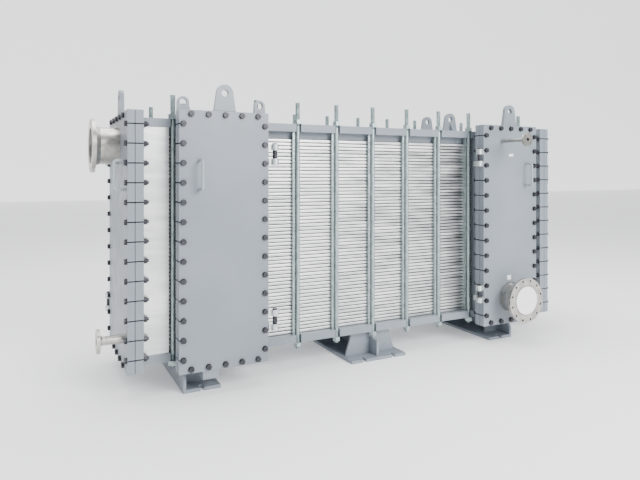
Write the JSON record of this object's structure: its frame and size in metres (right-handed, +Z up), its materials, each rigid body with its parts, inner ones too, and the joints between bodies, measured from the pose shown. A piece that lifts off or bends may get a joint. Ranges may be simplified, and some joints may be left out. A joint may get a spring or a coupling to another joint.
{
  "type": "plate heat exchanger",
  "caption": "Welded plate heat exchanger with a rod-braced plate pack between frame plates, hinged header doors, flanged nozzles and feet.",
  "frame": {"origin": "middle of the centre foot's floor face", "axes": "+X along the unit from the inlet end, +Z up, front doors face -Y"},
  "size_m": [4.356, 1.754, 2.165],
  "materials": {
    "paint": "satin",
    "galvanised": "satin",
    "stainless": "brushed",
    "dark_bolt": "satin",
    "hinge_steel": "satin",
    "gasket": "matte",
    "nozzle_steel": "satin",
    "disc": "matte",
    "handle_steel": "satin",
    "tag": "matte"
  },
  "bodies": {
    "frame_body": {"back_bolts": "dark_bolt", "back_gaskets": "gasket", "back_left_cover": "paint", "back_left_header": "paint", "back_lugs": "paint", "back_nozzle": "nozzle_steel", "back_right_cover": "paint", "back_right_header": "paint", "bottom_frame_plate": "paint", "centre_foot": "paint", "comb_bars": "galvanised", "crossways_channels": "stainless", "door_gaskets": "gasket", "far_end_header": "paint", "flange_ears": "paint", "flange_studs": "dark_bolt", "frame_leaves": "hinge_steel", "hinge_pins": "dark_bolt", "inlet_end_header": "paint", "left_door_rest": "paint", "left_foot": "paint", "left_header": "paint", "lengthwise_channels": "stainless", "lifting_lugs": "paint", "pressure_plate": "paint", "right_foot": "paint", "right_header": "paint", "tie_nuts": "galvanised", "tie_rods": "galvanised", "top_frame_plate": "paint"},
    "left_door_body": {"left_door": "paint", "left_door_bolts": "dark_bolt", "left_door_handle": "handle_steel", "left_door_lug": "paint", "left_door_straps": "hinge_steel"},
    "right_door_body": {"right_door": "paint", "right_door_bolts": "dark_bolt", "right_door_handle": "handle_steel", "right_door_lug": "paint", "right_door_straps": "hinge_steel", "side_nozzle": "nozzle_steel", "vent_nozzle": "nozzle_steel", "nozzle_disc": "disc", "tag_plates": "tag"},
    "inlet_end_door_body": {"inlet_end_door": "paint", "inlet_end_door_bolts": "dark_bolt", "inlet_end_door_handle": "handle_steel", "inlet_end_door_lug": "paint", "inlet_end_door_straps": "hinge_steel", "inlet_nozzle": "nozzle_steel", "end_drain_nozzle": "nozzle_steel"},
    "far_end_door_body": {"far_end_door": "paint", "far_end_door_bolts": "dark_bolt", "far_end_door_handle": "handle_steel", "far_end_door_lug": "paint", "far_end_door_straps": "hinge_steel", "far_end_nozzle": "nozzle_steel"}
  },
  "joints": [
    {"name": "left_door_hinge", "type": "hinge", "parent": "frame_body", "child": "left_door_body", "pos_m": [-0.9765, -0.632, 1.075], "axis": [0, 0, 1], "range_deg": [0, 110]},
    {"name": "right_door_hinge", "type": "hinge", "parent": "frame_body", "child": "right_door_body", "pos_m": [0.9765, -0.632, 1.075], "axis": [0, 0, -1], "range_deg": [0, 110]},
    {"name": "inlet_end_door_hinge", "type": "hinge", "parent": "frame_body", "child": "inlet_end_door_body", "pos_m": [-1.988, 0.54, 1.075], "axis": [0, 0, -1], "range_deg": [0, 110]},
    {"name": "far_end_door_hinge", "type": "hinge", "parent": "frame_body", "child": "far_end_door_body", "pos_m": [1.988, 0.54, 1.075], "axis": [0, 0, 1], "range_deg": [0, 110]}
  ]
}
